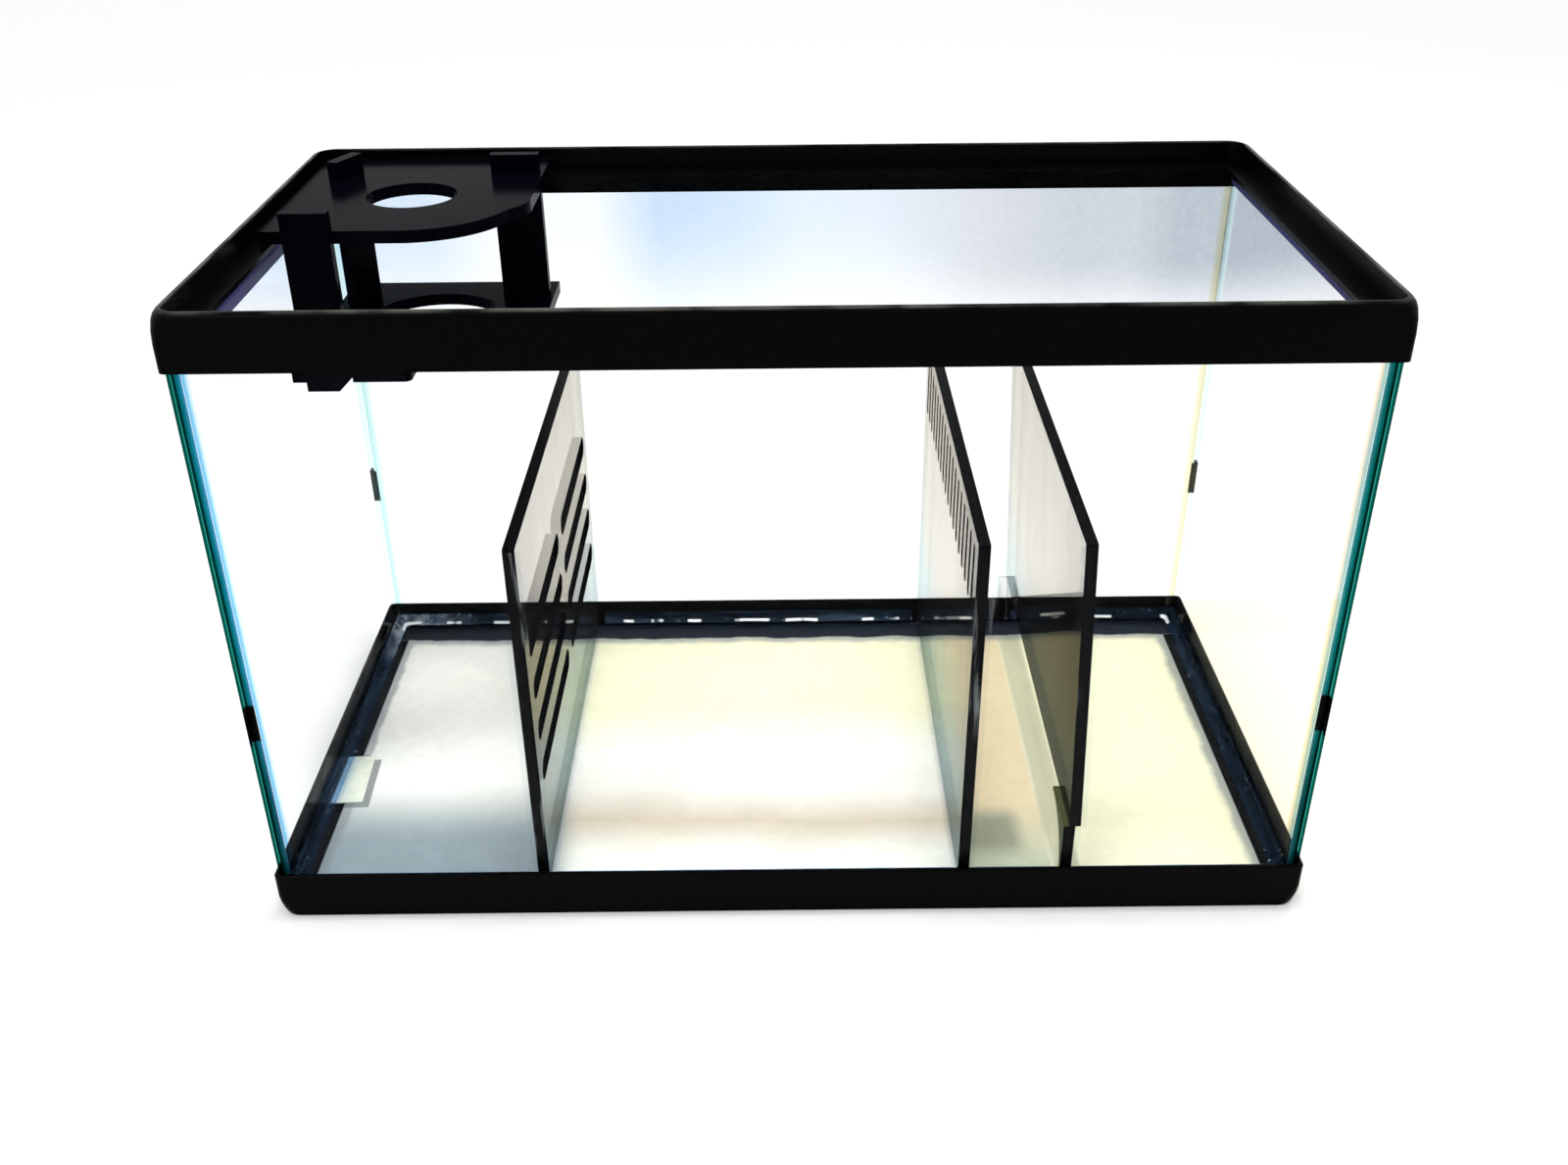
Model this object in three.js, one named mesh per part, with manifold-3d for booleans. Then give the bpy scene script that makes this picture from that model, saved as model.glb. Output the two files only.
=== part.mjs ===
// A ten-gallon framed glass tank fitted out as a small aquarium sump: three smoked acrylic baffles
// divide it into four chambers, and a black filter-sock holder hangs from the rim at the back left.
// The origin is the centre of the footprint. +X is to the right, +Y to the back, +Z up; millimetres.

import * as THREE from 'three';
import { mergeVertices } from 'three/addons/utils/BufferGeometryUtils.js';
import Module from 'manifold-3d';

const wasm = await Module();
wasm.setup();

// ---- driving dimensions ------------------------------------------------------------------------

const LENGTH = 514.4; // over the frames, along X
const DEPTH = 266.7; // over the frames, along Y
const HEIGHT = 319; // rim above the stand
const GAP = 0.3; // clearance left between touching pieces

const GLASS = 4; // wall pane thickness
const FLOOR_GLASS = 5; // bottom pane thickness
const GLASS_INSET = 2.6; // outer glass face behind the outer frame face
const GLASS_BOTTOM = 10.5;
const GLASS_TOP = 305;
const PANE_JOINT = 0.5; // silicone-filled joint between two panes

const SKIRT = 2; // wall thickness of both frames
const SKIRT_CORNER = 3.2; // plan radius of the skirts' upright corners
const TOP_SKIRT_BOTTOM = 293.3;
const LEDGE_TOP = 307.7;
const LEDGE_THICKNESS = 2.4;
const LEDGE_INSET = 13; // inner edge of the lid ledge, from the outer frame face
const RIM_WIDTH = 3.6;
const RIM_CORNER = 11; // plan radius of the rim's corners

const BASE_HEIGHT = 25.8;
const BASE_CORNER = 10; // plan radius of the base's corners where they meet the stand
const SHELF_TOP = 9.7;
const SHELF_THICKNESS = 2.3;
const SHELF_INSET = 14.5;

const SHEET = 5.7; // acrylic sheet thickness
const SHEET_TOP = 205.5;
const SHEET_END = 1.5; // each sheet ends this far from the glass
const SHEET_LIFT = 1.2; // and stands this far above the floor glass
const SLOTTED_X = -123.5;
const COMB_X = 88;
const UNDERFLOW_X = 136.8; // at the top edge
const UNDERFLOW_LEAN = 2.3; // degrees; the sheet was set with its foot further right
const UNDERFLOW_TURN = 0.5; // degrees; and with its back end further right
const FOOT_X = 139.4;
const FOOT_TOP = 45.6;
const FOOT_SHOULDER = 92; // where the feet's arch starts, from the middle
const UNDERFLOW_BOTTOM = 46;

const LONG_SLOT = { height: 12, inner: 5.9, outer: 116, lowest: 74.4, pitch: 24.03, rows: 4 };
const COMB_SLOT = { width: 5.5, bottom: 165, top: 199.5, pitch: 13.25, count: 18 };

const FLOOR_BEAD = 7; // leg of the silicone fillet round the floor
const CORNER_BEAD = 3.5; // leg of the upright corner fillets
const SEAM_BEAD = 2.2; // leg of the fillets along the baffles

const PLATE = 6.2; // sock holder plate thickness
const UPPER_PLATE_TOP = LEDGE_TOP + GAP + PLATE;
const LOWER_PLATE_TOP = 246;
const MOUTH_CLEAR = 0.6; // the lower plate's clearance inside the ledge
const LEG = { thickness: 6, bottom: 235, top: 324.5, chamfer: 7 };
const HOLDER_RIGHT = -127.2;
const HOLDER_FRONT = -13;
const UPPER_HOLE = { x: -189, y: 54.5, radius: 22.9 };
const LOWER_HOLE = { x: -187, y: 64.8, radius: 35 };

const LABEL = { x: -244, y: -33.7, width: 19, length: 42.5, thickness: 0.2, angle: 3 };

// ---- derived planes ----------------------------------------------------------------------------

const WALL_INSET = GLASS_INSET + GLASS;
const INNER_X = LENGTH / 2 - WALL_INSET; // inner faces of the end panes
const INNER_Y = DEPTH / 2 - WALL_INSET; // inner faces of the front and back panes
const FLOOR_TOP = GLASS_BOTTOM + FLOOR_GLASS;
const SHEET_HALF = INNER_Y - SHEET_END;
const SHEET_BOTTOM = FLOOR_TOP + SHEET_LIFT;
const LEDGE_BOTTOM = LEDGE_TOP - LEDGE_THICKNESS;
const SEAM_HALF = SHEET / 2 + GAP + SEAM_BEAD; // half the width of a baffle seam

// ---- materials ---------------------------------------------------------------------------------

const material = (color, roughness, extra = {}) =>
  new THREE.MeshStandardMaterial({ color, roughness, metalness: 0, ...extra });

const clear = (opacity) => ({ transparent: true, opacity });
const framePlastic = material(0x08080b, 0.3);
const glass = material(0xcfe8e4, 0.04, clear(0.25));
const silicone = material(0xd9dde0, 0.25, clear(0.6));
const smokedAcrylic = material(0x4a4b50, 0.12, clear(0.6));
const holderAcrylic = material(0x0a0a10, 0.22);
const labelPaper = material(0xe6e8e6, 0.8);

// ---- geometry helpers --------------------------------------------------------------------------

// Turns a closed geometry into a solid that can be cut and joined.
function toSolid(geometry) {
  const bare = geometry.index ? geometry.toNonIndexed() : geometry.clone();
  bare.deleteAttribute('normal');
  bare.deleteAttribute('uv');
  const merged = mergeVertices(bare, 1e-4);
  const vertProperties = new Float32Array(merged.attributes.position.array);
  const triVerts = new Uint32Array(merged.index.array);
  return new wasm.Manifold(new wasm.Mesh({ numProp: 3, vertProperties, triVerts }));
}

function toGeometry(solid) {
  const mesh = solid.getMesh();
  const geometry = new THREE.BufferGeometry();
  geometry.setAttribute('position', new THREE.BufferAttribute(mesh.vertProperties, 3));
  geometry.setIndex(new THREE.BufferAttribute(mesh.triVerts, 1));
  geometry.computeVertexNormals();
  return geometry;
}

// A box given by its low and high corners.
function box([x0, y0, z0], [x1, y1, z1]) {
  const geometry = new THREE.BoxGeometry(x1 - x0, y1 - y0, z1 - z0);
  return geometry.translate((x0 + x1) / 2, (y0 + y1) / 2, (z0 + z1) / 2);
}

// Extrudes a plan outline upwards from z0 to z1.
function upright(shape, z0, z1, curveSegments = 8) {
  const options = { depth: z1 - z0, bevelEnabled: false, curveSegments };
  return new THREE.ExtrudeGeometry(shape, options).translate(0, 0, z0);
}

// Extrudes an outline drawn in Y and Z into a sheet centred on the plane at x.
function crossSheet(shape, x, thickness, curveSegments = 8) {
  const geometry = upright(shape, -thickness / 2, thickness / 2, curveSegments);
  const turn = new THREE.Matrix4().makeBasis(
    new THREE.Vector3(0, 1, 0),
    new THREE.Vector3(0, 0, 1),
    new THREE.Vector3(1, 0, 0),
  );
  return geometry.applyMatrix4(turn).translate(x, 0, 0);
}

// Extrudes an outline drawn in X and Z along Y, from y0 to y1.
function frontToBack(shape, y0, y1) {
  const turn = new THREE.Matrix4().makeBasis(
    new THREE.Vector3(1, 0, 0),
    new THREE.Vector3(0, 0, 1),
    new THREE.Vector3(0, -1, 0),
  );
  return upright(shape, 0, y1 - y0).applyMatrix4(turn).translate(0, y1, 0);
}

const shapeOf = (points) => new THREE.Shape(points.map(([a, b]) => new THREE.Vector2(a, b)));

// One level of a hoop: a rounded rectangle set in from the outer frame face.
function hoopLoop({ inset, radius, z }, arcSteps = 8) {
  const centreX = LENGTH / 2 - inset - radius;
  const centreY = DEPTH / 2 - inset - radius;
  const quadrants = [[1, 1], [-1, 1], [-1, -1], [1, -1]];
  return quadrants.flatMap(([signX, signY], quadrant) =>
    Array.from({ length: arcSteps + 1 }, (_, step) => {
      const angle = (quadrant + step / arcSteps) * (Math.PI / 2);
      const x = signX * centreX + radius * Math.cos(angle);
      const y = signY * centreY + radius * Math.sin(angle);
      return [x, y, z];
    }));
}

// A closed hoop round the tank. The levels run up its outer side and down its inner side.
function hoop(levels) {
  const loops = levels.map((level) => hoopLoop(level));
  const count = loops[0].length;
  const index = [];
  loops.forEach((_, row) => {
    const next = ((row + 1) % loops.length) * count;
    for (let column = 0; column < count; column += 1) {
      const a = row * count + column;
      const b = row * count + ((column + 1) % count);
      const c = next + ((column + 1) % count);
      const d = next + column;
      index.push(a, b, c, a, c, d);
    }
  });
  const geometry = new THREE.BufferGeometry();
  geometry.setAttribute('position', new THREE.Float32BufferAttribute(loops.flat(2), 3));
  geometry.setIndex(index);
  geometry.computeVertexNormals();
  return geometry;
}

// Points along a hollow fillet, from (leg, 0) to (0, leg).
function filletCurve(leg, steps = 5) {
  const pull = 0.28 * leg;
  const curve = new THREE.QuadraticBezierCurve(
    new THREE.Vector2(leg, 0),
    new THREE.Vector2(pull, pull),
    new THREE.Vector2(0, leg),
  );
  return curve.getPoints(steps).map(({ x, y }) => [x, y]);
}

// A slot with round ends, centred on (x, y), as a hole path.
function slotPath(x, y, width, height) {
  const radius = Math.min(width, height) / 2;
  const path = new THREE.Path();
  if (width > height) {
    const reach = width / 2 - radius;
    path.absarc(x + reach, y, radius, -Math.PI / 2, Math.PI / 2, false);
    path.absarc(x - reach, y, radius, Math.PI / 2, (Math.PI * 3) / 2, false);
  } else {
    const reach = height / 2 - radius;
    path.absarc(x, y + reach, radius, 0, Math.PI, false);
    path.absarc(x, y - reach, radius, Math.PI, Math.PI * 2, false);
  }
  path.closePath();
  return path;
}

const tank = new THREE.Group();

function piece(name, geometry, ownMaterial, parent = tank) {
  const mesh = new THREE.Mesh(geometry, ownMaterial);
  mesh.name = name;
  parent.add(mesh);
  return mesh;
}

// ---- frames ------------------------------------------------------------------------------------

function topFrame() {
  const innerCorner = SKIRT_CORNER - SKIRT;
  const rimInnerCorner = RIM_CORNER - RIM_WIDTH;
  return hoop([
    { inset: 0, radius: SKIRT_CORNER, z: TOP_SKIRT_BOTTOM },
    { inset: 0, radius: SKIRT_CORNER, z: LEDGE_BOTTOM },
    { inset: 0, radius: 4.5, z: HEIGHT - 8 },
    { inset: 0, radius: 7.5, z: HEIGHT - 3.8 },
    { inset: 0.3, radius: 9.5, z: HEIGHT - 1.9 },
    { inset: 1.1, radius: RIM_CORNER, z: HEIGHT - 0.6 },
    { inset: 2.2, radius: RIM_CORNER - 0.6, z: HEIGHT },
    { inset: RIM_WIDTH, radius: rimInnerCorner, z: HEIGHT },
    { inset: RIM_WIDTH, radius: rimInnerCorner, z: LEDGE_TOP },
    { inset: LEDGE_INSET, radius: 4, z: LEDGE_TOP },
    { inset: LEDGE_INSET, radius: 4, z: LEDGE_BOTTOM },
    { inset: SKIRT, radius: innerCorner, z: LEDGE_BOTTOM },
    { inset: SKIRT, radius: innerCorner, z: TOP_SKIRT_BOTTOM },
  ]);
}

// The section is an h: the skirt rises outside the glass and the inner leg carries the shelf.
// Its corners are rounder at the bottom than at the top.
function bottomFrame() {
  const edge = 0.7;
  const innerCorner = SKIRT_CORNER - SKIRT;
  const legOuter = SHELF_INSET - SKIRT;
  return hoop([
    { inset: edge, radius: BASE_CORNER - edge, z: 0 },
    { inset: 0, radius: BASE_CORNER, z: edge },
    { inset: 0, radius: 7, z: 4 },
    { inset: 0, radius: 4.5, z: 8 },
    { inset: 0, radius: SKIRT_CORNER, z: 12 },
    { inset: 0, radius: SKIRT_CORNER, z: BASE_HEIGHT - edge },
    { inset: edge, radius: SKIRT_CORNER - edge, z: BASE_HEIGHT },
    { inset: SKIRT, radius: innerCorner, z: BASE_HEIGHT },
    { inset: SKIRT, radius: innerCorner, z: SHELF_TOP },
    { inset: SHELF_INSET, radius: 3, z: SHELF_TOP },
    { inset: SHELF_INSET, radius: 3, z: 0 },
    { inset: legOuter, radius: 5, z: 0 },
    { inset: legOuter, radius: 5, z: SHELF_TOP - SHELF_THICKNESS },
    { inset: SKIRT, radius: innerCorner, z: SHELF_TOP - SHELF_THICKNESS },
    { inset: SKIRT, radius: BASE_CORNER - SKIRT, z: 0 },
  ]);
}

piece('top_frame', topFrame(), framePlastic);
piece('bottom_frame', bottomFrame(), framePlastic);

// ---- glass -------------------------------------------------------------------------------------

const OUTER_X = INNER_X + GLASS;
const OUTER_Y = INNER_Y + GLASS;
const FLOOR_X = INNER_X - PANE_JOINT;
const END_PANE_Y = INNER_Y - PANE_JOINT;

piece('floor_glass', box([-FLOOR_X, -END_PANE_Y, GLASS_BOTTOM], [FLOOR_X, END_PANE_Y, FLOOR_TOP]), glass);
piece('front_glass', box([-OUTER_X, -OUTER_Y, GLASS_BOTTOM], [OUTER_X, -INNER_Y, GLASS_TOP]), glass);
piece('back_glass', box([-OUTER_X, INNER_Y, GLASS_BOTTOM], [OUTER_X, OUTER_Y, GLASS_TOP]), glass);
piece('left_glass', box([-OUTER_X, -END_PANE_Y, GLASS_BOTTOM], [-INNER_X, END_PANE_Y, GLASS_TOP]), glass);
piece('right_glass', box([INNER_X, -END_PANE_Y, GLASS_BOTTOM], [OUTER_X, END_PANE_Y, GLASS_TOP]), glass);

// ---- silicone along the panes ------------------------------------------------------------------

function cornerBead(signX, signY) {
  const outline = [[0, 0], ...filletCurve(CORNER_BEAD)].map(([u, v]) => [
    signX * (INNER_X - GAP - u),
    signY * (INNER_Y - GAP - v),
  ]);
  return upright(shapeOf(outline), FLOOR_TOP + FLOOR_BEAD + 3 * GAP, GLASS_TOP - 1);
}

piece('corner_bead_front_left', cornerBead(-1, -1), silicone);
piece('corner_bead_front_right', cornerBead(1, -1), silicone);
piece('corner_bead_back_left', cornerBead(-1, 1), silicone);
piece('corner_bead_back_right', cornerBead(1, 1), silicone);

// The whole fillet round the floor; each chamber keeps the stretch between its baffle seams.
function floorBeadHoop() {
  const section = [[0, 0], ...filletCurve(FLOOR_BEAD).reverse()];
  return toSolid(hoop(section.map(([across, rise]) => ({
    inset: WALL_INSET + GAP + across,
    radius: 0.6 + 0.7 * across,
    z: FLOOR_TOP + GAP + rise,
  }))));
}

const floorBead = floorBeadHoop();

function floorBeadBetween([x0, y0], [x1, y1]) {
  const stretch = toSolid(box([x0, y0, 0], [x1, y1, HEIGHT]));
  return toGeometry(floorBead.intersect(stretch));
}

const SEAM_CLEAR = SEAM_HALF + GAP; // how far each stretch of bead stays from a baffle's plane
const middleSpan = [SLOTTED_X + SEAM_CLEAR, COMB_X - SEAM_CLEAR];
const trapSpan = [COMB_X + SEAM_CLEAR, FOOT_X - SEAM_CLEAR];

piece('inlet_floor_bead',
  floorBeadBetween([-LENGTH, -DEPTH], [SLOTTED_X - SEAM_CLEAR, DEPTH]), silicone);
piece('middle_floor_bead_front', floorBeadBetween([middleSpan[0], -DEPTH], [middleSpan[1], 0]), silicone);
piece('middle_floor_bead_back', floorBeadBetween([middleSpan[0], 0], [middleSpan[1], DEPTH]), silicone);
piece('trap_floor_bead_front', floorBeadBetween([trapSpan[0], -DEPTH], [trapSpan[1], 0]), silicone);
piece('trap_floor_bead_back', floorBeadBetween([trapSpan[0], 0], [trapSpan[1], DEPTH]), silicone);
piece('return_floor_bead',
  floorBeadBetween([FOOT_X + SEAM_CLEAR, -DEPTH], [LENGTH, DEPTH]), silicone);

// ---- baffles -----------------------------------------------------------------------------------

// A sheet across the tank, from bottom up to the common top edge, as an outline in Y and Z.
function sheetOutline(bottom) {
  return shapeOf([
    [-SHEET_HALF, bottom],
    [SHEET_HALF, bottom],
    [SHEET_HALF, SHEET_TOP],
    [-SHEET_HALF, SHEET_TOP],
  ]);
}

function slottedBaffle() {
  const outline = sheetOutline(SHEET_BOTTOM);
  const length = LONG_SLOT.outer - LONG_SLOT.inner;
  const centre = (LONG_SLOT.outer + LONG_SLOT.inner) / 2;
  for (let row = 0; row < LONG_SLOT.rows; row += 1) {
    const z = LONG_SLOT.lowest + row * LONG_SLOT.pitch;
    for (const side of [-1, 1]) {
      outline.holes.push(slotPath(side * centre, z, length, LONG_SLOT.height));
    }
  }
  return crossSheet(outline, SLOTTED_X, SHEET);
}

function combBaffle() {
  const outline = sheetOutline(SHEET_BOTTOM);
  const z = (COMB_SLOT.bottom + COMB_SLOT.top) / 2;
  const height = COMB_SLOT.top - COMB_SLOT.bottom;
  for (let slot = 0; slot < COMB_SLOT.count; slot += 1) {
    const y = (slot - (COMB_SLOT.count - 1) / 2) * COMB_SLOT.pitch;
    outline.holes.push(slotPath(y, z, COMB_SLOT.width, height));
  }
  return crossSheet(outline, COMB_X, SHEET, 5);
}

// Tips the underflow sheet and its seams about the sheet's top edge, and turns them a little.
function leaning(geometry) {
  return geometry
    .translate(-UNDERFLOW_X, 0, -SHEET_TOP)
    .rotateY(THREE.MathUtils.degToRad(-UNDERFLOW_LEAN))
    .rotateZ(THREE.MathUtils.degToRad(-UNDERFLOW_TURN))
    .translate(UNDERFLOW_X, 0, SHEET_TOP);
}

// A foot at one end of the raised sheet: wide at the top, curving in to a narrow toe.
function underflowFoot(side) {
  const toe = SHEET_HALF - 3.3;
  const outline = new THREE.Shape();
  outline.moveTo(side * SHEET_HALF, SHEET_BOTTOM);
  outline.lineTo(side * SHEET_HALF, FOOT_TOP);
  outline.lineTo(side * FOOT_SHOULDER, FOOT_TOP);
  const curve = new THREE.EllipseCurve(
    side * FOOT_SHOULDER, SHEET_BOTTOM, toe - FOOT_SHOULDER, FOOT_TOP - 1.5 - SHEET_BOTTOM,
    Math.PI / 2, side > 0 ? 0 : Math.PI, side > 0,
  );
  curve.getPoints(16).forEach(({ x, y }) => outline.lineTo(x, y));
  outline.closePath();
  return crossSheet(outline, FOOT_X, SHEET);
}

piece('slotted_baffle', slottedBaffle(), smokedAcrylic);
piece('comb_baffle', combBaffle(), smokedAcrylic);
piece('underflow_baffle',
  leaning(crossSheet(sheetOutline(UNDERFLOW_BOTTOM), UNDERFLOW_X, SHEET)), smokedAcrylic);
piece('underflow_foot_front', underflowFoot(-1), smokedAcrylic);
piece('underflow_foot_back', underflowFoot(1), smokedAcrylic);

// ---- silicone along the baffles ----------------------------------------------------------------

// Section of a seam: a fillet on each side of a sheet. Across the sheet, then out from the glass.
function seamSection() {
  const half = SHEET / 2 + GAP;
  const right = filletCurve(SEAM_BEAD).map(([u, v]) => [half + u, v]);
  const left = right.map(([u, v]) => [-u, v]).reverse();
  return [...right, ...left];
}

function wallSeam(x, side, z0, z1) {
  const outline = seamSection().map(([across, out]) => [x + across, side * (INNER_Y - GAP - out)]);
  return toSolid(upright(shapeOf(outline), z0, z1));
}

function floorSeam(x, y0, y1) {
  const outline = seamSection().map(([across, rise]) => [x + across, FLOOR_TOP + GAP + rise]);
  return toSolid(frontToBack(shapeOf(outline), y0, y1));
}

// The room a sheet takes up in its seam, with clearance all round.
function sheetRoom(x, bottom, yLow = -SHEET_HALF, yHigh = SHEET_HALF) {
  const half = SHEET / 2 + GAP;
  return toSolid(box([x - half, yLow - GAP, bottom - GAP], [x + half, yHigh + GAP, HEIGHT]));
}

const SEAM_BASE = FLOOR_TOP + GAP;
const SEAM_TOP = SHEET_TOP - 1;
const SEAM_REACH = INNER_Y - GAP;

// Down the front glass, across the floor and up the back glass in one run.
function channelSeam(x) {
  const run = wallSeam(x, -1, SEAM_BASE, SEAM_TOP)
    .add(wallSeam(x, 1, SEAM_BASE, SEAM_TOP))
    .add(floorSeam(x, -SEAM_REACH, SEAM_REACH));
  return toGeometry(run.subtract(sheetRoom(x, SHEET_BOTTOM)));
}

function footSeam(side) {
  const toeEnd = SEAM_REACH - 5;
  const ends = [side * toeEnd, side * SEAM_REACH].sort((a, b) => a - b);
  const run = wallSeam(FOOT_X, side, SEAM_BASE, FOOT_TOP).add(floorSeam(FOOT_X, ...ends));
  return toGeometry(run.subtract(sheetRoom(FOOT_X, SHEET_BOTTOM)));
}

function raisedSeam(side) {
  const run = wallSeam(UNDERFLOW_X, side, UNDERFLOW_BOTTOM, SEAM_TOP);
  return leaning(toGeometry(run.subtract(sheetRoom(UNDERFLOW_X, 0))));
}

piece('slotted_baffle_seam', channelSeam(SLOTTED_X), silicone);
piece('comb_baffle_seam', channelSeam(COMB_X), silicone);
piece('underflow_seam_front', raisedSeam(-1), silicone);
piece('underflow_seam_back', raisedSeam(1), silicone);
piece('foot_seam_front', footSeam(-1), silicone);
piece('foot_seam_back', footSeam(1), silicone);

// ---- filter-sock holder ------------------------------------------------------------------------

const holder = new THREE.Group();
tank.add(holder);

// Centre of each leg in plan, its width, and the turn of its wide face from the X axis.
const LEGS = {
  front_left: { x: -225.5, y: HOLDER_FRONT + LEG.thickness / 2, width: 22.8, turn: 0 },
  back_right: { x: -141.9, y: 95.7, width: 25.4, turn: 0 },
  back_left: { x: -230.8, y: 90.3, width: 22, turn: 67 },
};

function legPlace({ x, y, turn }) {
  const place = new THREE.Matrix4().makeRotationZ(THREE.MathUtils.degToRad(turn));
  return place.setPosition(x, y, 0);
}

// A board on edge, with its lower right corner cut off.
function legBoard(leg) {
  const half = leg.width / 2;
  const outline = shapeOf([
    [-half, LEG.bottom],
    [half - LEG.chamfer, LEG.bottom],
    [half, LEG.bottom + LEG.chamfer],
    [half, LEG.top],
    [-half, LEG.top],
  ]);
  return frontToBack(outline, -LEG.thickness / 2, LEG.thickness / 2).applyMatrix4(legPlace(leg));
}

// The room a leg takes up in a plate, with clearance all round.
function legRoom(leg) {
  const half = leg.width / 2 + GAP;
  const deep = LEG.thickness / 2 + GAP;
  return toSolid(box([-half, -deep, 0], [half, deep, HEIGHT]).applyMatrix4(legPlace(leg)));
}

function holderPlate(outline, hole, top) {
  const cut = new THREE.Path();
  cut.absarc(hole.x, hole.y, hole.radius, 0, Math.PI * 2, false);
  outline.holes.push(cut);
  const blank = toSolid(upright(outline, top - PLATE, top, 20));
  const cutOut = Object.values(LEGS).reduce((rest, leg) => rest.subtract(legRoom(leg)), blank);
  return toGeometry(cutOut);
}

// Lies on the ledge at the left and back; its front right corner is one large sweep.
function upperPlateOutline() {
  const left = -250;
  const back = 128.5;
  const front = HOLDER_FRONT + LEG.thickness + GAP;
  const outline = new THREE.Shape();
  outline.moveTo(left, front);
  outline.lineTo(-180, front);
  outline.quadraticCurveTo(-148, front + 4, -136, 27);
  outline.quadraticCurveTo(HOLDER_RIGHT, 36, HOLDER_RIGHT, 46);
  outline.lineTo(HOLDER_RIGHT, back);
  outline.lineTo(left + 11, back);
  outline.lineTo(left, back - 13);
  outline.closePath();
  return outline;
}

// Small enough to pass up through the ledge's opening.
function lowerPlateOutline() {
  const left = -(LENGTH / 2 - LEDGE_INSET) + MOUTH_CLEAR;
  const back = DEPTH / 2 - LEDGE_INSET - MOUTH_CLEAR;
  const step = -185;
  const corner = 4;
  const outline = new THREE.Shape();
  outline.moveTo(left, HOLDER_FRONT);
  outline.lineTo(step - corner, HOLDER_FRONT);
  outline.quadraticCurveTo(step, HOLDER_FRONT, step, HOLDER_FRONT + corner);
  outline.lineTo(step, 2);
  outline.quadraticCurveTo(-150, 6, -136, 30);
  outline.quadraticCurveTo(HOLDER_RIGHT, 38, HOLDER_RIGHT, 48);
  outline.lineTo(HOLDER_RIGHT, back);
  outline.lineTo(left + 9, back);
  outline.lineTo(left, back - 10);
  outline.closePath();
  return outline;
}

piece('holder_upper_plate',
  holderPlate(upperPlateOutline(), UPPER_HOLE, UPPER_PLATE_TOP), holderAcrylic, holder);
piece('holder_lower_plate',
  holderPlate(lowerPlateOutline(), LOWER_HOLE, LOWER_PLATE_TOP), holderAcrylic, holder);
for (const [side, leg] of Object.entries(LEGS)) {
  piece(`holder_leg_${side}`, legBoard(leg), holderAcrylic, holder);
}

// ---- label -------------------------------------------------------------------------------------

const label = piece('blank_label',
  new THREE.BoxGeometry(LABEL.width, LABEL.length, LABEL.thickness), labelPaper);
label.position.set(LABEL.x, LABEL.y, GLASS_BOTTOM - GAP - LABEL.thickness / 2);
label.rotation.z = THREE.MathUtils.degToRad(LABEL.angle);

export default tank;
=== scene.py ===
"""A framed glass aquarium tank fitted out as a sump, on a pale studio floor."""

import math

import bpy
from mathutils import Euler, Matrix, Vector

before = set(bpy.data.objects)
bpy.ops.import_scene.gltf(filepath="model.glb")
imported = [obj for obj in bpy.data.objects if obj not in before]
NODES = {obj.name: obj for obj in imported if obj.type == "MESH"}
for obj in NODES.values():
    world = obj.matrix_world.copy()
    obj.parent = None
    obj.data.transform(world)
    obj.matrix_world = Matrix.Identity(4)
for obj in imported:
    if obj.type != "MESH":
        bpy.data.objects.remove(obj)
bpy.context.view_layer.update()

MM = 0.001
BLACK = (0.0, 0.0, 0.0, 1)
WHITE = (1.0, 1.0, 1.0, 1)

# Places on the tank, in metres.
LABEL_PLACE = (-0.2440, -0.0337)
LABEL_HALF_WIDTH, LABEL_HALF_LENGTH = 0.0095, 0.0212
LABEL_TURN = 3.0  # degrees
CREST_Z = (0.3178, 0.319)
# Height of the painted dark reflection across the pane edges.
DARK_REFLECTION_Z = (0.1045, 0.1235)
STRIP_LEFT_Z, STRIP_RIGHT_Z = 0.2925, 0.2968
END_PANE_INNER_X = 0.252
PANE_CORNER_X = (0.2530, 0.2533)
SHEET_END_Y = 0.1245
TOE_Z = (0.0164, 0.0173)
SMEAR_PLACE = (-0.238, 0.112, 0.018)
CAMERA_PLACE = (-0.0025, -0.7106, 0.5258)

scene = bpy.context.scene


# ---- node helpers ------------------------------------------------------------------------------

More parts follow.
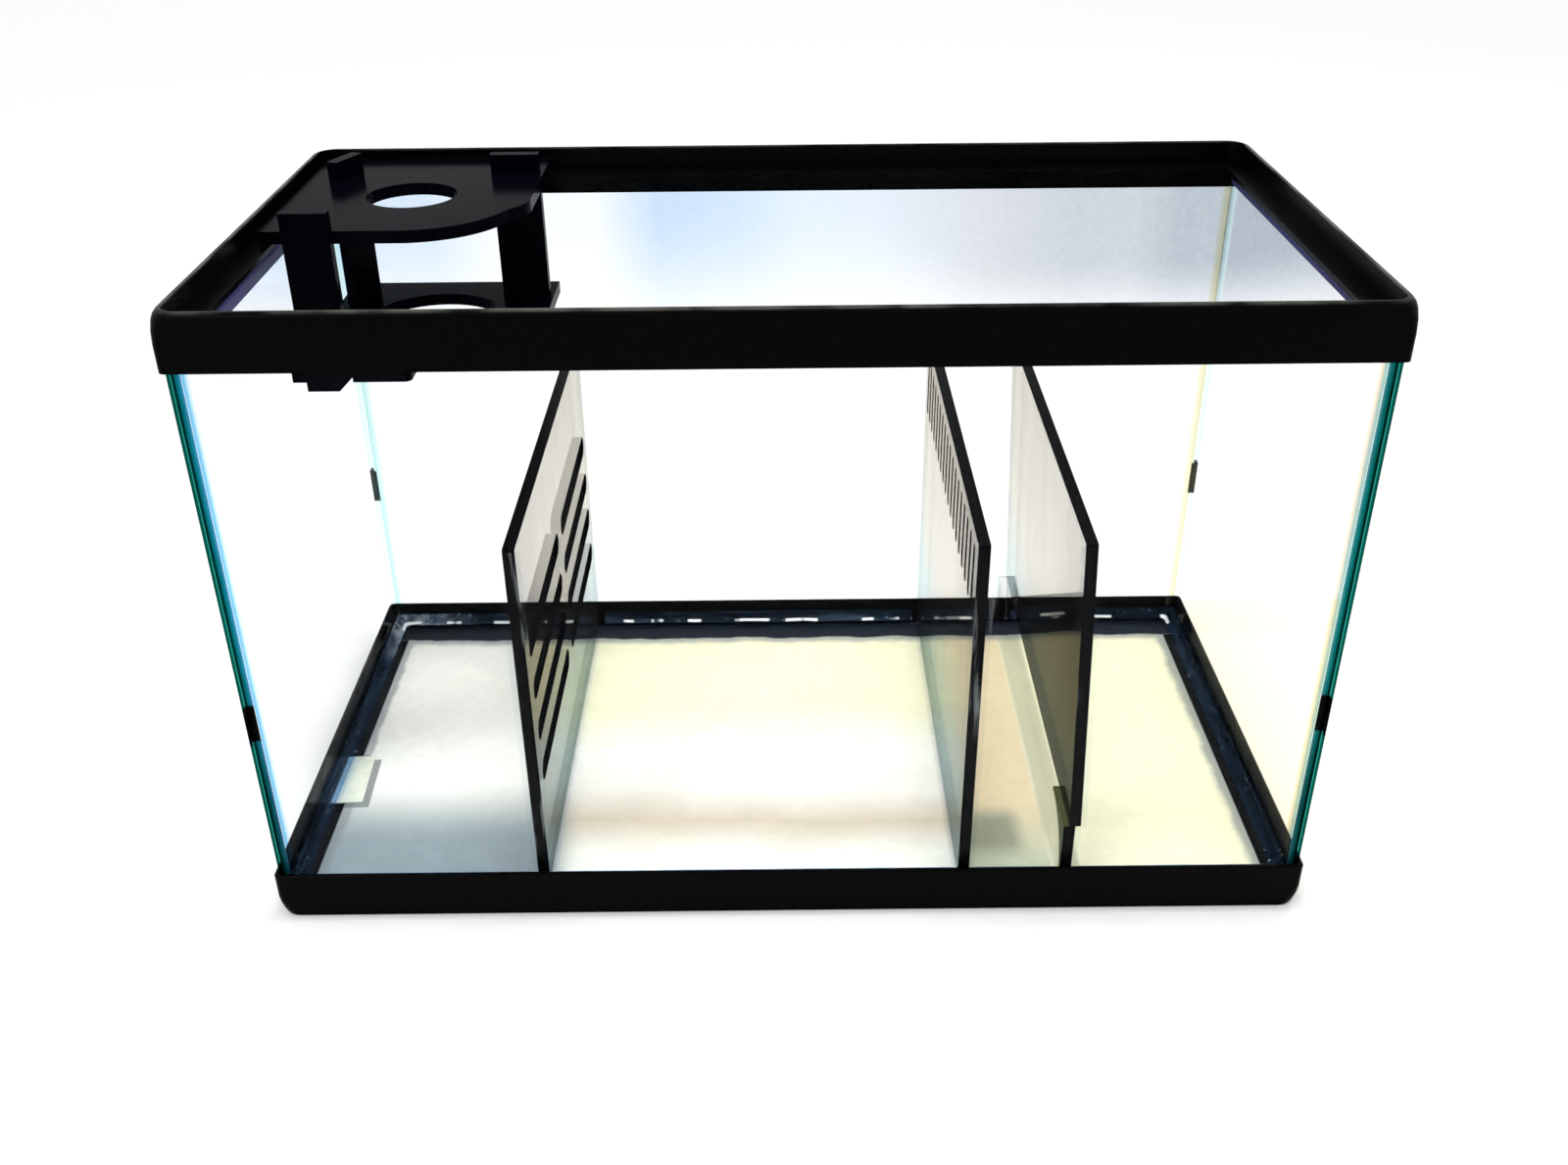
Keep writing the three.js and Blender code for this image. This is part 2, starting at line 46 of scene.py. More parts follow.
class Shader:
    """A material's node tree, with short calls for the nodes that this scene uses."""

    def __init__(self, name):
        self.material = bpy.data.materials.new(name)
        self.material.use_nodes = True
        self.tree = self.material.node_tree
        self.tree.nodes.clear()
        self.output = self.node("ShaderNodeOutputMaterial")
        self.point = self.node("ShaderNodeTexCoord").outputs["Object"]

    def node(self, kind, **settings):
        made = self.tree.nodes.new(kind)
        for key, value in settings.items():
            setattr(made, key, value)
        return made

    def set(self, socket, value):
        if isinstance(value, bpy.types.NodeSocket):
            self.tree.links.new(value, socket)
        else:
            socket.default_value = value

    def math(self, operation, a, b=0.0, c=0.0, clamp=False):
        made = self.node("ShaderNodeMath", operation=operation, use_clamp=clamp)
        for socket, value in zip(made.inputs, (a, b, c)):
            self.set(socket, value)
        return made.outputs[0]

    def ramp(self, value, low, high, out_low=0.0, out_high=1.0, smooth=True):
        made = self.node("ShaderNodeMapRange")
        made.interpolation_type = "SMOOTHSTEP" if smooth else "LINEAR"
        for key, number in zip(("Value", "From Min", "From Max", "To Min", "To Max"),
                               (value, low, high, out_low, out_high)):
            self.set(made.inputs[key], number)
        return made.outputs["Result"]

    def mix(self, factor, a, b):
        made = self.node("ShaderNodeMix", data_type="RGBA")
        self.set(made.inputs[0], factor)
        self.set(made.inputs[6], a)
        self.set(made.inputs[7], b)
        return made.outputs[2]

    def bands(self, value, *stops):
        """A colour that runs through stops of (place, colour), the places in rising order."""
        made = self.node("ShaderNodeValToRGB")
        elements = made.color_ramp.elements
        elements[0].position, elements[1].position = stops[0][0], stops[-1][0]
        elements[0].color, elements[1].color = (*stops[0][1], 1), (*stops[-1][1], 1)
        for place, colour in stops[1:-1]:
            elements.new(place).color = (*colour, 1)
        self.set(made.inputs[0], value)
        return made.outputs[0]

    def noise(self, scale, detail=2.0, rough=0.5, stretch=(1, 1, 1), distortion=0.0):
        mapping = self.node("ShaderNodeMapping")
        self.set(mapping.inputs["Vector"], self.point)
        mapping.inputs["Scale"].default_value = stretch
        made = self.node("ShaderNodeTexNoise")
        self.set(made.inputs["Vector"], mapping.outputs[0])
        made.inputs["Scale"].default_value = scale
        made.inputs["Detail"].default_value = detail
        made.inputs["Roughness"].default_value = rough
        made.inputs["Distortion"].default_value = distortion
        return made.outputs["Fac"]

    def bump(self, height, strength, distance):
        made = self.node("ShaderNodeBump")
        made.inputs["Strength"].default_value = strength
        made.inputs["Distance"].default_value = distance
        self.set(made.inputs["Height"], height)
        return made.outputs["Normal"]

    def axis(self, name):
        """One coordinate of the surface point, in metres."""
        split = self.node("ShaderNodeSeparateXYZ")
        self.set(split.inputs[0], self.point)
        return split.outputs[name]

    def faces(self, name):
        """How squarely the surface faces along an axis, from 0 to 1."""
        split = self.node("ShaderNodeSeparateXYZ")
        self.set(split.inputs[0], self.node("ShaderNodeNewGeometry").outputs["Normal"])
        return self.math("ABSOLUTE", split.outputs[name])

    def sheen(self, head_on, grazing):
        """Mirror share of one face of a thin clear sheet, the same from inside and outside."""
        weight = self.node("ShaderNodeLayerWeight")
        fifth = self.math("POWER", weight.outputs["Facing"], 5.0)
        return self.math("MULTIPLY_ADD", fifth, grazing, head_on)

    def glossy(self, roughness, normal=None, color=WHITE):
        made = self.node("ShaderNodeBsdfGlossy")
        self.set(made.inputs["Color"], color)
        self.set(made.inputs["Roughness"], roughness)
        if normal is not None:
            self.set(made.inputs["Normal"], normal)
        return made.outputs[0]

    def transparent(self, color):
        made = self.node("ShaderNodeBsdfTransparent")
        self.set(made.inputs[0], color)
        return made.outputs[0]

    def principled(self, **inputs):
        made = self.node("ShaderNodeBsdfPrincipled")
        for key, value in inputs.items():
            self.set(made.inputs[key.replace("_", " ")], value)
        return made.outputs[0]

    def blend(self, factor, a, b):
        made = self.node("ShaderNodeMixShader")
        self.set(made.inputs[0], factor)
        self.set(made.inputs[1], a)
        self.set(made.inputs[2], b)
        return made.outputs[0]

    def finish(self, surface):
        self.set(self.output.inputs["Surface"], surface)
        return self.material


# ---- materials ---------------------------------------------------------------------------------

def frame_plastic():
    """Moulded black plastic: a faint orange peel, dull patches, and a crest lightened by a painted
    highlight.
    """
    s = Shader("frame_plastic")
    peel = s.noise(900, 3, 0.6)
    scuffs = s.ramp(s.noise(60, 4, 0.7, stretch=(1, 1, 9)), 0.60, 0.72)
    dust = s.ramp(s.noise(420, 2, 0.7), 0.70, 0.8)
    # Painted highlight: the crest is lightened in patches.
    crest_highlight = s.math("MULTIPLY", s.ramp(s.axis("Z"), *CREST_Z),
                    s.ramp(s.noise(25, 3), 0.4, 0.6))
    tint = s.mix(s.math("MULTIPLY", dust, 0.5), (0.0008, 0.0008, 0.001, 1),
                 (0.006, 0.0063, 0.007, 1))
    tint = s.mix(crest_highlight, tint, (0.05, 0.05, 0.042, 1))
    roughness = s.math("MULTIPLY_ADD", scuffs, 0.12, s.ramp(s.noise(14, 3), 0.3, 0.7, 0.2, 0.32))
    return s.finish(s.principled(
        Base_Color=tint, Roughness=roughness, Specular_IOR_Level=0.025,
        Normal=s.bump(peel, 0.25, 0.0004)))


def holder_acrylic():
    """Polished black sheet with fine scratches and a cold sheen."""
    s = Shader("holder_acrylic")
    scratches = s.ramp(s.noise(300, 5, 0.75, stretch=(1, 14, 1)), 0.62, 0.75)
    tint = s.mix(scratches, (0.001, 0.001, 0.0025, 1), (0.004, 0.004, 0.009, 1))
    roughness = s.math("MULTIPLY_ADD", scratches, 0.2, 0.16)
    return s.finish(s.principled(
        Base_Color=tint, Roughness=roughness, Specular_IOR_Level=0.005,
        Normal=s.bump(scratches, 0.1, 0.0002)))


def between(s, value, low, high, soft):
    """1 where the value lies from low to high, falling to 0 over the soft distance outside."""
    rise = s.ramp(value, low - soft, low)
    fall = s.ramp(value, high, high + soft, 1.0, 0.0)
    return s.math("MULTIPLY", rise, fall)


def dark_reflection_band(s):
    """0 on the dark band, a painted reflection, that crosses each front edge low down, and 1
    elsewhere.
    """
    return s.math("SUBTRACT", 1.0, between(s, s.axis("Z"), *DARK_REFLECTION_Z, 0.0015))


def edge_colour(s):
    """Ground glass edge: blue-teal inside, greener outside and darker low down."""
    across = s.ramp(s.math("ABSOLUTE", s.axis("X")), 0.2505, 0.2546, smooth=False)
    left = s.bands(across, (0.0, (0.05, 0.36, 0.66)), (0.5, (0.0, 0.22, 0.29)),
                   (1.0, (0.0, 0.26, 0.26)))
    right = s.bands(across, (0.0, (0.09, 0.36, 0.40)), (0.4, (0.0, 0.20, 0.21)),
                    (1.0, (0.0, 0.15, 0.11)))
    colour = s.mix(s.ramp(s.axis("X"), -0.01, 0.01), left, right)
    mottle = s.ramp(s.noise(35, 3), 0.3, 0.7, 0.8, 1.15)
    depth = s.math("MULTIPLY", mottle, s.ramp(s.axis("Z"), 0.03, 0.17, 0.35, 1.0))
    return s.mix(s.math("MULTIPLY", depth, dark_reflection_band(s), clamp=True), BLACK, colour)


def top_painted_reflection(s, tone_and_painted_light):
    """How much painted lavender reflection a pane shows near its top, by stops along the tank's
    length.
    """
    x = s.axis("X")
    height = s.math("MULTIPLY_ADD", s.axis("Y"), 0.38, s.axis("Z"))
    low = s.ramp(x, 0.05, 0.12, 0.245, 0.250)
    high = s.ramp(x, 0.05, 0.12, 0.335, 0.305)
    along = s.ramp(x, -0.25, 0.25, smooth=False)
    amount = s.math("MULTIPLY", s.ramp(height, low, high), s.bands(along, *tone_and_painted_light))
    amount = s.math("MULTIPLY", amount, s.ramp(s.noise(240, 4, 0.8), 0.25, 0.75, 0.9, 1.1))
    colour = s.mix(s.ramp(along, 0.5, 0.75), (0.42, 0.64, 0.90, 1), (0.52, 0.57, 0.63, 1))
    return amount, colour


def pane_glass(name, face_axis, inside_edge, tone_and_painted_light=None):
    """A clear pane whose wide faces look along face_axis. Its cut edges are teal from outside and
    inside_edge through the pane, and the back and end panes carry a painted lavender reflection
    near the top. An end pane shows the skirt's inside as a slate strip, and the right one carries a
    painted cream reflection low down."""
    s = Shader(name)
    ground = s.noise(500, 3, 0.6)
    outside = s.principled(
        Base_Color=edge_colour(s), Roughness=0.3, Specular_IOR_Level=0.1,
        Normal=s.bump(ground, 0.2, 0.0003))
    behind = s.node("ShaderNodeNewGeometry").outputs["Backfacing"]
    through = s.mix(dark_reflection_band(s), BLACK, inside_edge)
    edge = s.blend(behind, outside, s.transparent(through))

    tint = (0.992, 0.997, 0.995, 1)
    if tone_and_painted_light:
        amount, colour = top_painted_reflection(s, tone_and_painted_light)
        tint = s.mix(amount, tint, colour)
    if face_axis == "X":
        # Painted reflection: the right end pane is tinted cream low down.
        low_down = s.math("MULTIPLY_ADD", s.axis("Y"), 0.593, s.axis("Z"))
        painted_cream_reflection = s.math("MULTIPLY", s.ramp(low_down, 0.100, 0.103, 1, 0),
                       s.ramp(s.axis("X"), 0.24, 0.25))
        tint = s.mix(painted_cream_reflection, tint, (0.995, 0.985, 0.90, 1))
    else:
        corner = s.ramp(s.math("ABSOLUTE", s.axis("X")), *PANE_CORNER_X)
        tint = s.mix(corner, tint, through)
    clear = s.blend(s.sheen(0.0012, 0.22), s.transparent(tint), s.glossy(0.015))
    if face_axis == "X":
        strip_low = s.ramp(s.axis("X"), -0.01, 0.01, STRIP_LEFT_Z, STRIP_RIGHT_Z)
        strip = s.math("MULTIPLY", s.math("GREATER_THAN", s.axis("Z"), strip_low),
                       s.math("LESS_THAN", s.math("ABSOLUTE", s.axis("X")), END_PANE_INNER_X))
        clear = s.blend(s.math("MULTIPLY", strip, 0.96), clear, s.principled(
            Base_Color=(0.045, 0.045, 0.15, 1), Roughness=0.6, Specular_IOR_Level=0.05))
    specks = s.ramp(s.noise(900, 2, 0.7), 0.74, 0.84, 0.0, 0.1)
    dusty = s.blend(specks, clear, s.principled(Base_Color=(0.8, 0.82, 0.84, 1), Roughness=0.7))
    wide = s.ramp(s.faces(face_axis), 0.6, 0.9)
    return s.finish(s.blend(wide, edge, dusty))


def floor_pane():
    """The bottom pane, with a chalky layer beneath it that stands for the ground seen through the
    glass:
    cream on the whole, with a painted shade band across the front, cool grey painted shade in the
    inlet chamber's front, peach painted shade between the comb and underflow baffles, and painted
    light whitening the rest of the inlet chamber."""
    s = Shader("floor_pane")
    x, y = s.axis("X"), s.axis("Y")
    drift = s.ramp(s.noise(9, 3, 0.5), 0.3, 0.7, -0.015, 0.015)
    depth = s.math("ADD", s.ramp(y, -0.127, 0.127, smooth=False), drift)
    # Cream ground tones, with a painted shade band across the front third of the floor.
    tone_and_painted_light = s.bands(
        depth, (0.0, (0.96, 0.98, 0.95)), (0.10, (0.96, 0.97, 0.90)), (0.21, (0.66, 0.57, 0.44)),
        (0.32, (0.92, 0.90, 0.84)), (0.45, (0.98, 0.98, 0.92)), (0.62, (0.97, 0.95, 0.68)),
        (1.0, (0.96, 0.94, 0.66)))
    # Painted light: the inlet chamber's floor is whitened.
    inlet_painted_light = s.ramp(x, -0.118, -0.128, 0.0, 0.9)
    tone_and_painted_light = s.mix(inlet_painted_light, tone_and_painted_light, (1.0, 1.0, 0.96, 1))
    tone_and_painted_light = s.mix(s.ramp(x, 0.13, 0.15, 0.0, 0.8), tone_and_painted_light, (0.96, 0.94, 0.68, 1))
    # Painted shade: the inlet chamber's front is darker grey-blue.
    inlet_front_shade = s.math("MULTIPLY", s.ramp(x, -0.11, -0.13), s.ramp(y, -0.03, -0.09))
    tone_and_painted_light = s.mix(inlet_front_shade, tone_and_painted_light, (0.27, 0.34, 0.38, 1))
    # Painted shade: the trap floor between the comb and underflow baffles is darker and warmer.
    trap_shade = s.bands(depth, (0.09, (0.62, 0.66, 0.50)), (0.27, (0.93, 0.78, 0.52)),
                    (1.0, (0.88, 0.72, 0.46)))
    tone_and_painted_light = s.mix(between(s, x, 0.092, 0.134, 0.003), tone_and_painted_light, trap_shade)
    # A dark greenish blotch on the trap floor.
    dark_blotch = s.math("MULTIPLY", between(s, x, 0.094, 0.116, 0.012),
                   between(s, y, -0.092, -0.078, 0.018))
    tone_and_painted_light = s.mix(s.math("MULTIPLY", dark_blotch, 0.85), tone_and_painted_light, (0.28, 0.31, 0.23, 1))
    tone_and_painted_light = s.mix(s.math("MULTIPLY", between(s, x, 0.1375, 0.148, 0.003), 0.85), tone_and_painted_light,
                 (0.60, 0.59, 0.40, 1))
    mottle = s.ramp(s.noise(300, 4, 0.8), 0.3, 0.7, 0.0, 0.10)
    tone_and_painted_light = s.mix(mottle, tone_and_painted_light, (0.55, 0.6, 0.6, 1))

    # Painted shade: a grey margin inside the dark frame, and a black band along the back pane.
    rough_edge = s.ramp(s.noise(45, 3, 0.6), 0.3, 0.7, -0.0012, 0.0012)
    from_back = s.math("ADD", y, rough_edge)
    from_left = s.math("ADD", x, rough_edge)
    shaded_margin = s.math("MAXIMUM", s.ramp(from_back, 0.102, 0.109, 0.0, 0.75),
                    s.ramp(from_left, -0.2365, -0.2395, 0.0, 0.65))
    shaded_margin = s.math("MAXIMUM", shaded_margin, s.ramp(from_left, 0.2345, 0.2400, 0.0, 0.75))
    tone_and_painted_light = s.mix(shaded_margin, tone_and_painted_light, (0.26, 0.29, 0.31, 1))
    black = s.ramp(from_back, 0.1095, 0.1115)
    tone_and_painted_light = s.mix(black, tone_and_painted_light, (0.006, 0.010, 0.018, 1))

    # The label shows through a clean patch, with its shadow to the right and in front.
    turn = math.radians(LABEL_TURN)
    from_x = s.math("ADD", x, -LABEL_PLACE[0])
    from_y = s.math("ADD", y, -LABEL_PLACE[1])
    across = s.math("MULTIPLY_ADD", from_x, math.cos(turn),
                    s.math("MULTIPLY", from_y, math.sin(turn)))
    along = s.math("MULTIPLY_ADD", from_y, math.cos(turn),
                   s.math("MULTIPLY", from_x, -math.sin(turn)))
    on_label = s.math("MULTIPLY", between(s, across, -LABEL_HALF_WIDTH, LABEL_HALF_WIDTH, 0.0003),
                      between(s, along, -LABEL_HALF_LENGTH, LABEL_HALF_LENGTH, 0.0003))
    shadow = s.math("MULTIPLY", between(s, across, -0.0075, 0.0133, 0.0008),
                    between(s, along, -0.0258, 0.0165, 0.0008))
    tone_and_painted_light = s.mix(s.math("MULTIPLY", shadow, 0.8), tone_and_painted_light, (0.16, 0.19, 0.19, 1))

    marks = s.ramp(s.noise(55, 5, 0.7, distortion=0.6), 0.4, 0.75, 0.78, 0.86)
    inside = s.ramp(s.math("ABSOLUTE", x), 0.2420, 0.2430, 1, 0)
    patch = s.math("MAXIMUM", s.math("MULTIPLY", marks, inside), s.math("MULTIPLY", black, 0.97))
    patch = s.math("MULTIPLY", patch, s.math("SUBTRACT", 1.0, on_label))
    underside = s.ramp(s.axis("Z"), 0.011, 0.012, 1, 0)
    tint = s.mix(0.5, tone_and_painted_light, WHITE)
    tint = s.mix(underside, (0.995, 1.0, 0.997, 1), s.mix(on_label, tint, WHITE))
    clear = s.blend(s.sheen(0.004, 0.12), s.transparent(tint), s.glossy(0.03))
    chalk = s.principled(Base_Color=tone_and_painted_light, Roughness=0.8, Specular_IOR_Level=0.1)
    return s.finish(s.blend(s.math("MULTIPLY", patch, underside), clear, chalk))


def smoked_acrylic(name, low_shade=False, clear_arch=False):
    """Smoked sheet: mirror-like at a glancing angle, black along its cut edges. It can darken
    towards its lower front corner, and have an arch whose cut face is clear."""
    s = Shader(name)
    cut = s.principled(
        Base_Color=(0.0008, 0.0008, 0.0012, 1), Roughness=0.35, Specular_IOR_Level=0.012)
    inside = s.node("ShaderNodeNewGeometry").outputs["Backfacing"]
    outside = s.math("SUBTRACT", 1.0, inside)
    end = s.math("GREATER_THAN", s.math("ABSOLUTE", s.axis("Y")), SHEET_END_Y)
    if clear_arch:
        black = s.math("MULTIPLY", end, outside)
        # Painted shade: the arch's cut face is dark at the front foot.
        arch = s.mix(s.ramp(s.axis("Y"), -0.01, 0.01), (0.35, 0.36, 0.28, 1),
                     (0.86, 0.86, 0.84, 1))
        cut = s.blend(black, s.transparent(arch), cut)
    else:
        hidden = s.math("MULTIPLY", end, inside)
        cut = s.blend(hidden, cut, s.transparent((0.8, 0.79, 0.76, 1)))
    haze = s.noise(30, 4, 0.65, stretch=(1, 1, 0.4))
    smoke = s.mix(s.ramp(haze, 0.3, 0.7), (0.69, 0.68, 0.66, 1), (0.63, 0.62, 0.60, 1))
    mirror = s.math("MULTIPLY", s.sheen(0.01, 0.96), outside)
    # Painted shade: the lower front corner is darkened and its mirror dimmed.
    if low_shade:
        reach = s.math("MULTIPLY_ADD", s.axis("Y"), 0.697, s.axis("Z"))
        shade = s.ramp(reach, 0.084, 0.095, 1, 0)
        smoke = s.mix(shade, smoke, (0.20, 0.22, 0.165, 1))
        mirror = s.math("MULTIPLY", mirror, s.math("MULTIPLY_ADD", shade, -0.62, 1.0))
    # Painted reflection: the mirror is warm high up, blue-green low down and darker towards the
    # front.
    low = s.ramp(s.axis("Z"), 0.05, 0.12)
    gloss = s.mix(low, (0.66, 0.80, 0.82, 1), (0.84, 0.79, 0.71, 1))
    gloss_front = s.mix(low, (0.56, 0.68, 0.70, 1), (0.66, 0.62, 0.58, 1))
    gloss = s.mix(s.ramp(s.axis("Y"), -0.12, -0.04), gloss_front, gloss)
    clear = s.blend(mirror, s.transparent(smoke), s.glossy(0.03, color=gloss))
    dusty = s.blend(s.ramp(haze, 0.35, 0.75, 0.003, 0.02), clear,
                    s.principled(Base_Color=(0.5, 0.49, 0.47, 1), Roughness=0.7))
    return s.finish(s.blend(s.ramp(s.faces("X"), 0.6, 0.9), cut, dusty))


def bead_streaks(s, scale):
    """Noise drawn out along whichever way the bead runs."""
    runs_back = s.ramp(s.faces("X"), 0.1, 0.3)
    sideways = s.noise(scale, 4, 0.65, stretch=(0.07, 1, 1))
    backwards = s.noise(scale, 4, 0.65, stretch=(1, 0.07, 1))
    return s.math("ADD", s.math("MULTIPLY", runs_back, backwards),
                  s.math("MULTIPLY", s.math("SUBTRACT", 1.0, runs_back), sideways))


def floor_silicone():
    """Clear sealant over the dark frame: wet, streaked along its run, smeared in one corner."""
    s = Shader("floor_silicone")
    lumps = s.noise(160, 3, 0.6)
    streaks = bead_streaks(s, 260)
    normal = s.bump(s.math("MULTIPLY_ADD", streaks, 0.8, lumps), 0.7, 0.0015)
    reach = s.node("ShaderNodeVectorMath", operation="DISTANCE")
    s.set(reach.inputs[0], s.point)
    reach.inputs[1].default_value = SMEAR_PLACE
    smear = s.math("MULTIPLY", s.ramp(reach.outputs["Value"], 0.012, 0.045, 0.5, 0.0),
                   s.ramp(s.noise(90, 4, 0.7), 0.35, 0.65))
    dashes = s.ramp(s.noise(60, 2, 0.5, stretch=(1, 0.1, 0.1)), 0.50, 0.56)
    outside = s.math("SUBTRACT", 1.0, s.node("ShaderNodeNewGeometry").outputs["Backfacing"])
    toe = s.math("MULTIPLY", between(s, s.axis("Z"), *TOE_Z, 0.0002),
                 s.ramp(s.axis("Y"), 0.112, 0.114))
    glints = s.math("MULTIPLY", s.math("MULTIPLY", toe, outside), dashes)
    specks = s.ramp(s.noise(480, 2, 0.6), 0.70, 0.74)
    light = s.math("MAXIMUM", s.math("MAXIMUM", smear, glints), s.math("MULTIPLY", specks, 0.8))
    cloudy = s.math("MAXIMUM", light, s.ramp(streaks, 0.48, 0.68, 0.02, 0.16))
    body = s.mix(light, (0.03, 0.09, 0.18, 1), (0.70, 0.74, 0.74, 1))
    milky = s.principled(Base_Color=body, Roughness=0.2, Normal=normal)
    # Painted reflection: the bead's mirror is tinted blue.
    clear = s.blend(s.sheen(0.003, 0.1), s.transparent((0.66, 0.78, 0.93, 1)),
                    s.glossy(0.08, normal, (0.3, 0.6, 1.0, 1)))
    return s.finish(s.blend(cloudy, clear, milky))


def clear_silicone(name, *tints):
    """Clear sealant in a corner or along a sheet, tinted by how far out towards the end it lies."""
    s = Shader(name)
    lumps = s.noise(160, 3, 0.6)
    normal = s.bump(lumps, 0.5, 0.001)
    outwards = s.ramp(s.math("ABSOLUTE", s.axis("X")), 0.2468, 0.2503, smooth=False)
    clear = s.blend(s.sheen(0.002, 0.06), s.transparent(s.bands(outwards, *tints)),
                    s.glossy(0.08, normal))
    threads = s.ramp(s.noise(220, 3, 0.6, stretch=(1, 1, 0.08)), 0.6, 0.72, 0.0, 0.12)
    return s.finish(s.blend(threads, clear, s.principled(
        Base_Color=(0.75, 0.8, 0.82, 1), Roughness=0.25, Normal=normal)))


def paper():
    """A plain label, a little mottled by damp."""
    s = Shader("label_paper")
    fibres = s.noise(1500, 3, 0.7)
    damp = s.noise(110, 3, 0.6)
    tint = s.mix(s.ramp(damp, 0.45, 0.75), (0.74, 0.78, 0.66, 1), (0.62, 0.67, 0.58, 1))
    return s.finish(s.principled(
        Base_Color=tint, Roughness=0.85, Normal=s.bump(fibres, 0.3, 0.0003)))


def floor_material():
    s = Shader("studio_floor")
    return s.finish(s.principled(Base_Color=(0.92, 0.92, 0.92, 1), Roughness=0.9))


def dress(material, *names):
    for name in names:
        NODES[name].data.materials.clear()
        NODES[name].data.materials.append(material)


def grey(level):
    return (level, level, level)


# Strength of the painted lavender reflection along the back pane and the end panes.
BACK_REFLECTION = ((0.1, grey(0.30)), (0.18, grey(0.06)), (0.29, grey(0.08)), (0.36, grey(0.40)),
             (0.45, grey(0.34)), (0.52, grey(0.22)), (0.60, grey(0.24)), (0.72, grey(0.37)),
             (0.83, grey(0.52)), (0.90, grey(0.52)), (0.95, grey(0.67)))
END_REFLECTION = ((0.0, grey(0.45)), (1.0, grey(0.75)))
dress(frame_plastic(), "top_frame", "bottom_frame")
dress(pane_glass("front_pane", "Y", (0.02, 0.27, 0.23, 1)), "front_glass")
dress(pane_glass("back_pane", "Y", (0.9, 0.97, 0.96, 1), BACK_REFLECTION), "back_glass")
dress(pane_glass("end_pane", "X", (0.9, 0.97, 0.96, 1), END_REFLECTION), "left_glass", "right_glass")
dress(floor_pane(), "floor_glass")
dress(smoked_acrylic("smoked_sheet"), "slotted_baffle", "comb_baffle")
dress(smoked_acrylic("smoked_sheet_low", low_shade=True), "underflow_baffle")
dress(smoked_acrylic("smoked_feet", low_shade=True, clear_arch=True),
      "underflow_foot_front", "underflow_foot_back")
dress(holder_acrylic(), *[n for n in NODES if n.startswith("holder_")])
dress(floor_silicone(), *[n for n in NODES if "floor_bead" in n])
dress(clear_silicone("seam_silicone", (0.0, (0.96, 0.97, 0.98)), (1.0, (0.96, 0.97, 0.98))),
      *[n for n in NODES if n.endswith("_seam") or "_seam_" in n])
dress(clear_silicone("front_left_silicone", (0.0, (0.97, 0.98, 1.0)), (0.5, (0.80, 0.92, 1.0)),
                     (1.0, (0.40, 0.72, 0.92))), "corner_bead_front_left")
dress(clear_silicone("front_right_silicone", (0.0, (1.0, 0.97, 0.90)), (0.5, (0.92, 0.82, 0.72)),
                     (1.0, (0.55, 0.72, 0.72))), "corner_bead_front_right")
dress(clear_silicone("back_left_silicone", (0.0, (0.93, 0.98, 0.98)), (1.0, (0.72, 0.90, 0.90))),
      "corner_bead_back_left")
# The back right corner bead is tinted cream.
dress(clear_silicone("cream_silicone", (0.0, (0.98, 0.97, 0.90)), (1.0, (0.90, 0.87, 0.70))),
      "corner_bead_back_right")
dress(paper(), "blank_label")


# ---- edges -------------------------------------------------------------------------------------

def soften(name, width):
    """Rounds a hard part's edges a little, so that they catch the light."""
    bevel = NODES[name].modifiers.new("soft_edges", "BEVEL")
    bevel.width = width
    bevel.segments = 2
    bevel.limit_method = "ANGLE"
    bevel.angle_limit = math.radians(40)


for node in NODES:
    if node.startswith("holder_"):
        soften(node, 0.4 * MM)
    elif node.endswith("_glass") or node.endswith("_baffle") or "underflow_foot" in node:
        soften(node, 0.3 * MM)


def lumpy(name, lumps):
    """Remeshes a run of sealant finely, and gives it the uneven face of a bead smoothed by hand."""
    remesh = NODES[name].modifiers.new("fine_mesh", "REMESH")
    remesh.mode = "VOXEL"
    remesh.voxel_size = 0.9 * MM
    remesh.use_smooth_shade = True
    displace = NODES[name].modifiers.new("lumps", "DISPLACE")
    displace.texture = lumps
    displace.texture_coords = "LOCAL"
    displace.strength = 1.1 * MM
    displace.mid_level = 0.85


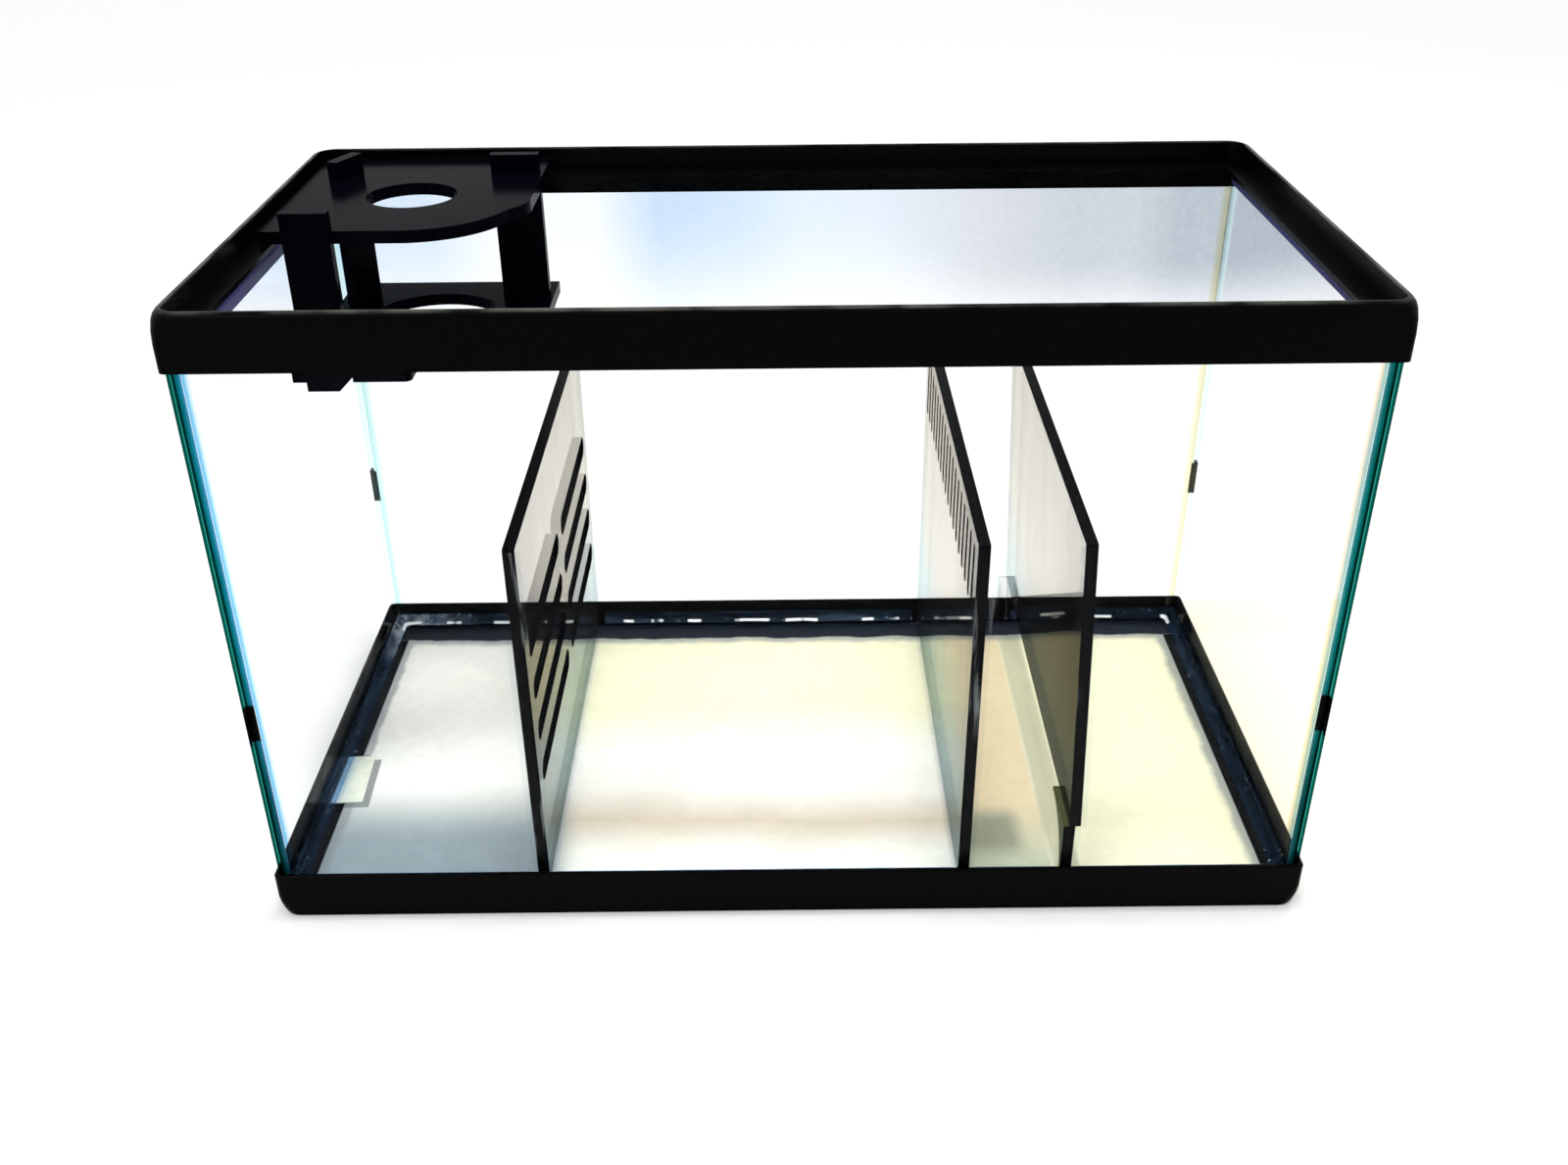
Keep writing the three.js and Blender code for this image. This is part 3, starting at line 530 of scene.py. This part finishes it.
lump_noise = bpy.data.textures.new("sealant_lumps", "CLOUDS")
lump_noise.noise_scale = 0.014
lump_noise.noise_depth = 3
for node in NODES:
    if "floor_bead" in node:
        lumpy(node, lump_noise)


# ---- studio ------------------------------------------------------------------------------------

def studio_floor():
    mesh = bpy.data.meshes.new("studio_floor")
    half = 4.0
    corners = [(-half, -half, 0), (half, -half, 0), (half, half, 0), (-half, half, 0)]
    mesh.from_pydata(corners, [], [(0, 1, 2, 3)])
    floor = bpy.data.objects.new("studio_floor", mesh)
    mesh.materials.append(floor_material())
    scene.collection.objects.link(floor)


def area_light(name, place, target, size, power, spread=180):
    light = bpy.data.lights.new(name, "AREA")
    light.shape = "RECTANGLE"
    light.spread = math.radians(spread)
    light.size, light.size_y = size
    light.energy = power
    lamp = bpy.data.objects.new(name, light)
    lamp.location = place
    lamp.rotation_euler = (Vector(target) - Vector(place)).to_track_quat("-Z", "Y").to_euler()
    scene.collection.objects.link(lamp)


def world_light(strength):
    world = bpy.data.worlds.new("studio")
    world.use_nodes = True
    background = world.node_tree.nodes["Background"]
    background.inputs["Color"].default_value = WHITE
    background.inputs["Strength"].default_value = strength
    scene.world = world


def camera():
    """Stands in front and above: yaw, downward tilt and roll in degrees."""
    yaw, tilt, roll = 0.12, 30.02, -0.51
    data = bpy.data.cameras.new("camera")
    data.sensor_width = 36.0
    data.lens = 34.57
    eye = bpy.data.objects.new("camera", data)
    eye.location = CAMERA_PLACE
    turn = Euler((math.radians(90 - tilt), 0, math.radians(-yaw))).to_matrix()
    eye.rotation_euler = (turn @ Matrix.Rotation(math.radians(roll), 3, "Z")).to_euler()
    scene.collection.objects.link(eye)
    scene.camera = eye


studio_floor()
world_light(1.04)
area_light("key", (-0.9, -1.0, 1.6), (0, 0, 0.15), (0.5, 0.9), 6)
area_light("rim", (1.0, 0.9, 1.3), (0, 0, 0.2), (0.4, 0.8), 5)
area_light("mouth", (0.0, 0.0, 1.5), (0, 0, 0), (0.5, 0.25), 1.0, spread=45)
camera()
scene.view_settings.view_transform = "Standard"
scene.cycles.transparent_max_bounces = 48
